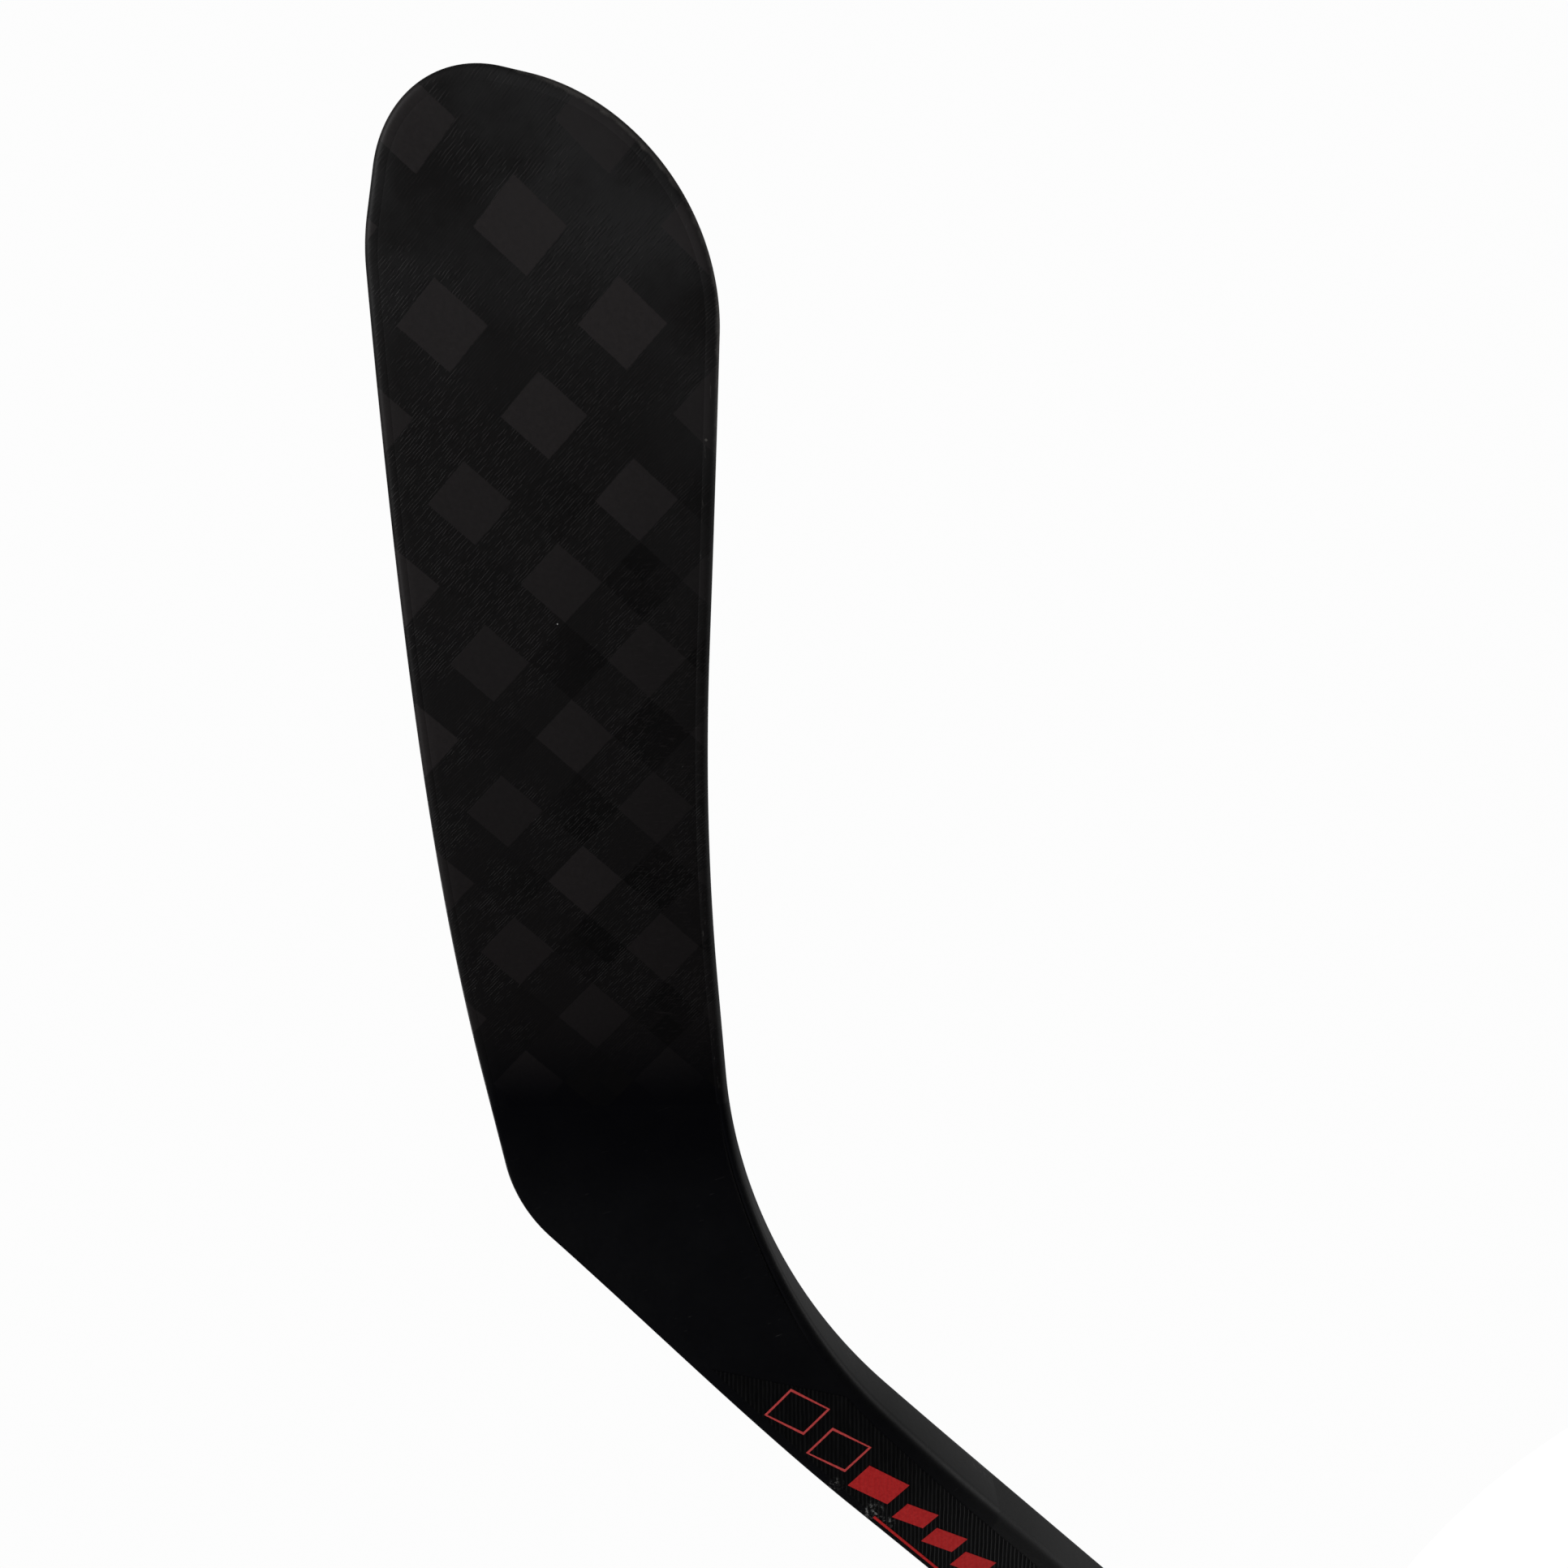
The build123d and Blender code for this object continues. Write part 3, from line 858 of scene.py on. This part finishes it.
def tow_pattern(look):
    """Wide carbon tows, light where two lie together and dark where none does: colour, roughness, relief. The
    tow colours grow lighter towards the toe: painted light.
    """
    p = (look.t - TOW_SHIFT) * (math.cos(TOW_TURN) / TOW) + look.s * (math.sin(TOW_TURN) / TOW)
    q = look.t * (math.sin(TOW_TURN) / TOW) - look.s * (math.cos(TOW_TURN) / TOW) + 5
    first, second = p + q, p - q
    wobble = (look.noise(6 * MM) - 0.5) * 0.02 + (look.noise(0.8 * MM) - 0.5) * 0.03
    on_first = (first.zigzag() + wobble).ramp(0.5 + TOW_EDGE, 0.5 - TOW_EDGE)
    on_second = (second.zigzag() + wobble).ramp(0.5 + TOW_EDGE, 0.5 - TOW_EDGE)
    both = on_first * on_second
    neither = on_first.inverted() * on_second.inverted()
    cell = look.random_cell((first * 0.5).math("ROUND"), (second * 0.5).math("ROUND"))

    fade = look.s.ramp(-124 * MM, -94 * MM)
    # Painted light: the tow colours grow lighter from heel to toe, as if the toe were lit brighter.
    toe_painted_light = look.s.ramp(-120 * MM, 125 * MM)
    mottle = look.noise(1.2 * MM, 4.0, 0.75)
    # Painted shade: the light tows are made up to 45% darker along the top edge, fading out towards the toe.
    topside = look.t.ramp(-4 * MM, 24 * MM)
    top_edge_painted_shade = topside * look.s.ramp(90 * MM, 10 * MM) * -0.45 + 1
    light = both * fade * (cell * 0.45 + 0.55) * (mottle * 0.9 + 0.45) * top_edge_painted_shade
    dark = neither * q.ramp(1.8, 4.6) * (cell * 0.5 + 0.4) * (look.t.ramp(-26 * MM, 6 * MM) * 0.75 + 0.25)

    turn = math.radians(WEAVE_ANGLE)
    across = (look.t * math.sin(turn) - look.s * math.cos(turn)) * (1 / WEAVE_PITCH)
    jitter = (look.noise(3 * MM) - 0.5) * 0.9
    row = across + jitter
    stroke = (row.zigzag(0.5) * 2).ramp(0.5, 0.95)
    gap = (row.zigzag(0.5) * 2).ramp(0.5, 0.05)
    dash = look.streaks(WEAVE_ANGLE, WEAVE_LENGTH, WEAVE_PITCH * 0.8).ramp(0.42, 0.6)
    patches = look.noise(18 * MM, 2.0).ramp(0.38, 0.6)
    woven = dash * both.inverted() * (patches * 0.75 + 0.25) * fade
    weave = stroke * woven
    seams = gap * woven
    rungs = look.streaks(0, 2.4 * MM, 0.4 * MM).ramp(0.58, 0.7)
    rungs = rungs * look.t.ramp(4 * MM, 18 * MM) * look.s.ramp(50 * MM, -10 * MM) * fade

    toe_cloud = look.s.ramp(50 * MM, 122 * MM) * 0.9
    top_cloud = look.t.ramp(10 * MM, 42 * MM) * look.s.ramp(0.0, 60 * MM) * 0.4
    cloud = (toe_cloud + top_cloud) * look.noise(28 * MM, 4.0, 0.6).ramp(0.3, 0.7)
    specks = look.specks(9 * MM, 0.3 * MM, 0.12)
    hairs = look.streaks(64, 5 * MM, 0.35 * MM).ramp(0.73, 0.8) * 0.4

    light_tow = look.blend(toe_painted_light, *LIGHT_TOWS_SHADED_TO_LIT)
    heel_black = look.blend(look.noise(12 * MM, 3.0, 0.6), *HEEL_TONES)
    base = look.blend(fade, heel_black, look.blend(toe_painted_light, *BASE_TOWS_SHADED_TO_LIT))
    base = look.blend(dark, base, DARK_TOW)
    base = look.blend(cloud, base, CLOUD_GREY)
    base = look.blend(seams * 0.5, base, DARK_TOW)
    base = look.blend((weave * 0.5).math("MAXIMUM", rungs * 0.4), base, light_tow)
    base = look.blend(light, base, light_tow)
    base = look.blend((specks * fade + hairs * weave).math("MINIMUM", 1.0), base, SCUFF_WHITE)
    relief = weave * 0.35 + both * 0.25 + mottle * 0.12 + specks * 0.6
    return base, mottle * 0.12 + 0.36 - light * 0.04, relief * fade


def tow_look():
    """Blade faces: the tows under a satin coat."""
    look = Look("tow_lattice", 0.42, 0.06)
    base, gloss, relief = tow_pattern(look)
    look.colour(base)
    look.roughness(gloss)
    look.bump(relief, 0.12 * MM)
    return look


# Pale tone of the rim: real wear and a painted highlight in one.
RIM_WEAR_AND_HIGHLIGHT = (0.12, 0.113, 0.108)
RIM_FLECK = (0.16, 0.15, 0.142)


def rim_look():
    """Edge laminate under the same tows, pale round the toe and along the top edge: part real wear, part
    painted highlight.
    """
    look = Look("edge_wear_and_painted_highlight", 0.42, 0.1)
    base, gloss, relief = tow_pattern(look)
    toe = look.s.ramp(84 * MM, 112 * MM) * look.t.ramp(-16 * MM, 12 * MM)
    top = look.t.ramp(14 * MM, 24 * MM) * look.s.ramp(-30 * MM, 100 * MM)
    ragged = look.noise(2.2 * MM, 4.0, 0.7)
    # Pale band round the toe and along the top edge: part real wear, part painted highlight where light
    # catches the edge.
    wear_and_highlight_reach = toe.math("MAXIMUM", top * 0.8) * 0.9 - look.inset * (0.4 / MM)
    wear_and_highlight = (wear_and_highlight_reach + ragged * 0.6 - 0.45).ramp(0.1, 0.5)
    flakes = look.streaks(90, 3 * MM, 0.5 * MM, 3.0).ramp(0.66, 0.76) * look.t.ramp(0.0, 20 * MM) * 0.3
    flecks = look.specks(4 * MM, 0.35 * MM, 0.25) * toe.math("MAXIMUM", top)
    share = (wear_and_highlight * 0.9 + flakes).math("MINIMUM", 1.0)
    body = look.blend(share, base, RIM_WEAR_AND_HIGHLIGHT)
    look.colour(look.blend(flecks * 0.8, body, RIM_FLECK))
    look.roughness(gloss + ragged * 0.08)
    look.bump(relief + ragged * 0.2 + wear_and_highlight * 0.3, 0.12 * MM)
    return look


def scuff_patch(look, s, t, radius):
    """A rubbed patch round one place on the hosel."""
    away = (look.s - s).math("POWER", 2.0) + (look.t - t).math("POWER", 2.0)
    near = away.math("SQRT").ramp(radius, radius * 0.2)
    broken = look.noise(1.1 * MM, 4.0, 0.75).ramp(0.52, 0.66)
    return near * broken


SOLE_SIDE_RUBS = (
    (-241 * MM, 67.3 * MM, 3 * MM),
    (-250.3 * MM, 78.1 * MM, 4.5 * MM),
    (-254.5 * MM, 82.5 * MM, 3 * MM),
)
BEND_RUBS = (
    (-208.8 * MM, 71.2 * MM, 4 * MM),
    (-250 * MM, 112 * MM, 6 * MM),
)


def rubs(look, places):
    """Several rubbed patches together."""
    joined = scuff_patch(look, *places[0])
    for rub in places[1:]:
        joined = joined.math("MAXIMUM", scuff_patch(look, *rub))
    return joined


def hosel_look():
    """Smooth satin black coat with light rubs along its edges."""
    look = Look("hosel_coat", 0.4, 0.42)
    peel = look.noise(1.4 * MM, 2.0)
    scuffs = rubs(look, SOLE_SIDE_RUBS)
    scuffs = scuffs.math("MAXIMUM", rubs(look, BEND_RUBS) * look.n.ramp(0.0, -8 * MM) * 0.5)
    specks = look.specks(8 * MM, 0.26 * MM, 0.12)
    hairs = look.streaks(20, 6 * MM, 0.25 * MM).ramp(0.74, 0.8) * 0.15
    share = (scuffs * 0.7 + specks * 0.6 + hairs).math("MINIMUM", 1.0)
    dust = look.noise(12 * MM, 3.0, 0.6)
    away = look.s.ramp(-128 * MM, -168 * MM)
    body = look.blend(dust, *HEEL_TONES)
    look.colour(look.blend(share * (away * 0.7 + 0.3), body, SCUFF_WHITE))
    look.roughness(peel * 0.08 + dust * 0.08 + 0.38 - away * 0.06)
    look.specular(away * 0.2 + 0.06)
    look.bump(peel * 0.5 + scuffs * 0.6, 0.03 * MM)
    return look


def shaft_look():
    """Matte grip coat with a very fine grain."""
    look = Look("shaft_coat", 0.5, 0.28)
    grain = look.noise(0.5 * MM, 3.0, 0.6)
    rubbed = look.noise(30 * MM, 4.0, 0.6)
    look.colour(look.blend(rubbed, (0.0026, 0.0026, 0.0032), (0.0048, 0.0048, 0.0053)))
    look.roughness(grain * 0.12 + rubbed * 0.12 + 0.36)
    look.bump(grain, 0.04 * MM)
    return look


RIB_PITCH = 1.2 * MM


def film_look():
    """Dark film with fine ribs along the blade's length."""
    look = Look("ribbed_film", 0.4, 0.14)
    jitter = (look.noise(4 * MM) - 0.5) * 0.35
    ribs = ((look.t * (1 / RIB_PITCH) + jitter).zigzag(0.5) * 2).ramp(0.45, 0.95)
    broken = look.streaks(90, 6 * MM, 0.8 * MM).ramp(0.3, 0.7)
    dust = look.noise(14 * MM, 3.0, 0.6)
    base = look.blend(dust, (0.0018, 0.0018, 0.0022), (0.0034, 0.0034, 0.0038))
    base = look.blend(ribs * (broken * 0.7 + 0.3) * 0.75, base, (0.0115, 0.0115, 0.012))
    scuffs = rubs(look, SOLE_SIDE_RUBS).math("MAXIMUM", look.specks(7 * MM, 0.3 * MM, 0.1))
    look.colour(look.blend(scuffs * 0.6, base, SCUFF_WHITE))
    look.roughness(broken * 0.1 + 0.34)
    look.bump(ribs, 0.06 * MM)
    return look


def ink_look(name, thin, thick):
    """Red print with slight unevenness and pinholes."""
    look = Look(name, 0.35, 0.4)
    mottle = look.noise(0.9 * MM, 4.0, 0.7)
    ribs = (look.t * (1 / RIB_PITCH)).zigzag(0.5) * 2
    look.colour(look.blend(mottle.ramp(0.3, 0.7), thin, thick))
    look.roughness(mottle * 0.15 + 0.28)
    look.bump(ribs * 0.5 + mottle * 0.3, 0.05 * MM)
    return look


def foam_look():
    """Closed-cell foam of the cores."""
    look = Look("core_foam", 0.8, 0.3, own=False)
    cells = look.noise(0.6 * MM, 3.0, 0.6)
    look.colour(look.blend(cells, (0.60, 0.57, 0.47), (0.78, 0.75, 0.65)))
    look.roughness(cells * 0.15 + 0.72)
    look.bump(cells, 0.2 * MM)
    return look


def raw_laminate_look():
    """Raw carbon laminate of the rib and the bonded tenon."""
    look = Look("raw_laminate", 0.5, 0.5, own=False)
    fibres = look.noise(1, 2.0, where=look.vector(look.s * 2500, look.t * 2500, look.n * 60))
    look.colour(look.blend(fibres, (0.012, 0.012, 0.013), (0.032, 0.032, 0.034)))
    look.roughness(fibres * 0.2 + 0.38)
    look.bump(fibres, 0.05 * MM)
    return look


def plug_look():
    """Moulded rubber of the end cap."""
    look = Look("cap_rubber", 0.6, 0.4)
    grain = look.noise(0.7 * MM, 3.0, 0.6)
    rubbed = look.noise(8 * MM, 3.0)
    look.colour(look.blend(rubbed, (0.012, 0.012, 0.013), (0.022, 0.022, 0.023)))
    look.roughness(grain * 0.15 + 0.5)
    look.bump(grain, 0.08 * MM)
    return look


# ---------------------------------------------------------------- the stick
rim = make_rim()
blade_faces = make_faces()
hosel = make_hosel()
shaft = make_shaft()
plug = make_plug()
prints = make_prints()
pinstripe = make_pinstripe()

tow_look().wear(*blade_faces)
rim_look().wear(rim)
hosel_look().wear(hosel)
shaft_look().wear(shaft)
plug_look().wear(plug)
film_look().wear(*prints["film"])
ink_look("outline_red", (0.72, 0.075, 0.075), (0.88, 0.11, 0.105)).wear(*prints["decal_outlined"])
ink_look("solid_red", (0.62, 0.022, 0.024), (0.76, 0.036, 0.036)).wear(*prints["decal_solid"], pinstripe)
foam_look().wear(*(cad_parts[n] for n in ("blade_upper_core", "blade_lower_core", "heel_core")))
raw_laminate_look().wear(*(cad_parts[n] for n in ("blade_rib", "hosel_tenon")))

# ---------------------------------------------------------------- floor, light and camera
FLOOR_RADIUS = 1.0
FLOOR_SIDES = 96


def make_floor():
    """Plain pale round floor under the butt."""
    mesh = bpy.data.meshes.new("floor")
    work = bmesh.new()
    bmesh.ops.create_circle(work, cap_ends=True, segments=FLOOR_SIDES, radius=FLOOR_RADIUS)
    work.to_mesh(mesh)
    work.free()
    floor = bpy.data.objects.new("floor", mesh)
    bpy.context.scene.collection.objects.link(floor)
    material = bpy.data.materials.new("pale_floor")
    material.use_nodes = True
    shader = material.node_tree.nodes["Principled BSDF"]
    shader.inputs["Base Color"].default_value = (0.86, 0.86, 0.86, 1)
    shader.inputs["Roughness"].default_value = 0.9
    shader.inputs["Emission Color"].default_value = (1, 1, 1, 1)
    shader.inputs["Emission Strength"].default_value = 0.9
    mesh.materials.append(material)


def make_world():
    """Backdrop that looks pale all round but only lights the stick softly, most from low behind."""
    world = bpy.data.worlds.new("studio")
    bpy.context.scene.world = world
    world.use_nodes = True
    tree = world.node_tree
    background = tree.nodes["Background"]
    direction = tree.nodes.new("ShaderNodeTexCoord")
    parts = tree.nodes.new("ShaderNodeSeparateXYZ")
    tree.links.new(direction.outputs["Generated"], parts.inputs[0])
    toe_side, behind, up = (Wire(tree, output) for output in parts.outputs)
    soft = (toe_side * 0.4 + behind * 0.55 - up * 0.9).ramp(0.6, 1.15) * 0.3 + 0.02
    paths = tree.nodes.new("ShaderNodeLightPath")
    seen = Wire(tree, paths.outputs["Is Camera Ray"])
    level = soft.math("MAXIMUM", seen * 0.98)
    background.inputs["Color"].default_value = (1, 1, 1, 1)
    tree.links.new(level.socket, background.inputs["Strength"])


def add_softbox(name, place_at, aim, size, power):
    """Soft area light aimed at a point and hidden from the camera."""
    light = bpy.data.lights.new(name, "AREA")
    light.shape = "DISK"
    light.size = size
    light.energy = power
    lamp = bpy.data.objects.new(name, light)
    lamp.location = place_at
    lamp.rotation_mode = "QUATERNION"
    lamp.rotation_quaternion = (Vector(aim) - Vector(place_at)).to_track_quat("-Z", "Y")
    lamp.visible_camera = False
    bpy.context.scene.collection.objects.link(lamp)


CAMERA_PLACE = Vector((0.17178, -0.28452, 1.62897))
CAMERA_AIM = Vector((0.12666, 0.0, 1.57736))
CAMERA_ROLL = math.radians(46.19)
CAMERA_LENS = 26.09


def make_camera():
    """Camera close in front of the blade, rolled so that the blade stands upright in the frame."""
    data = bpy.data.cameras.new("camera")
    data.lens = CAMERA_LENS
    data.sensor_width = 36
    data.clip_start = 0.01
    camera = bpy.data.objects.new("camera", data)
    camera.location = CAMERA_PLACE
    camera.rotation_mode = "QUATERNION"
    level = (CAMERA_AIM - CAMERA_PLACE).to_track_quat("-Z", "Y")
    camera.rotation_quaternion = level @ Quaternion((0, 0, 1), -CAMERA_ROLL)
    bpy.context.scene.collection.objects.link(camera)
    bpy.context.scene.camera = camera


make_floor()
make_world()
add_softbox("key", (-0.65, -0.93, 2.5), (0.1, 0, 1.6), 0.9, 15)
add_softbox("low_side", (0.91, 0.18, 0.70), (0.01, 0, 1.42), 0.5, 0.8)
add_softbox("rim_light", (0.9, 0.8, 2.2), (0.1, 0, 1.6), 0.6, 1.2)
add_softbox("back_fill", (-1.3, 0.7, 1.9), (0.1, 0, 1.5), 0.8, 3)
make_camera()
bpy.context.scene.view_settings.view_transform = "Standard"
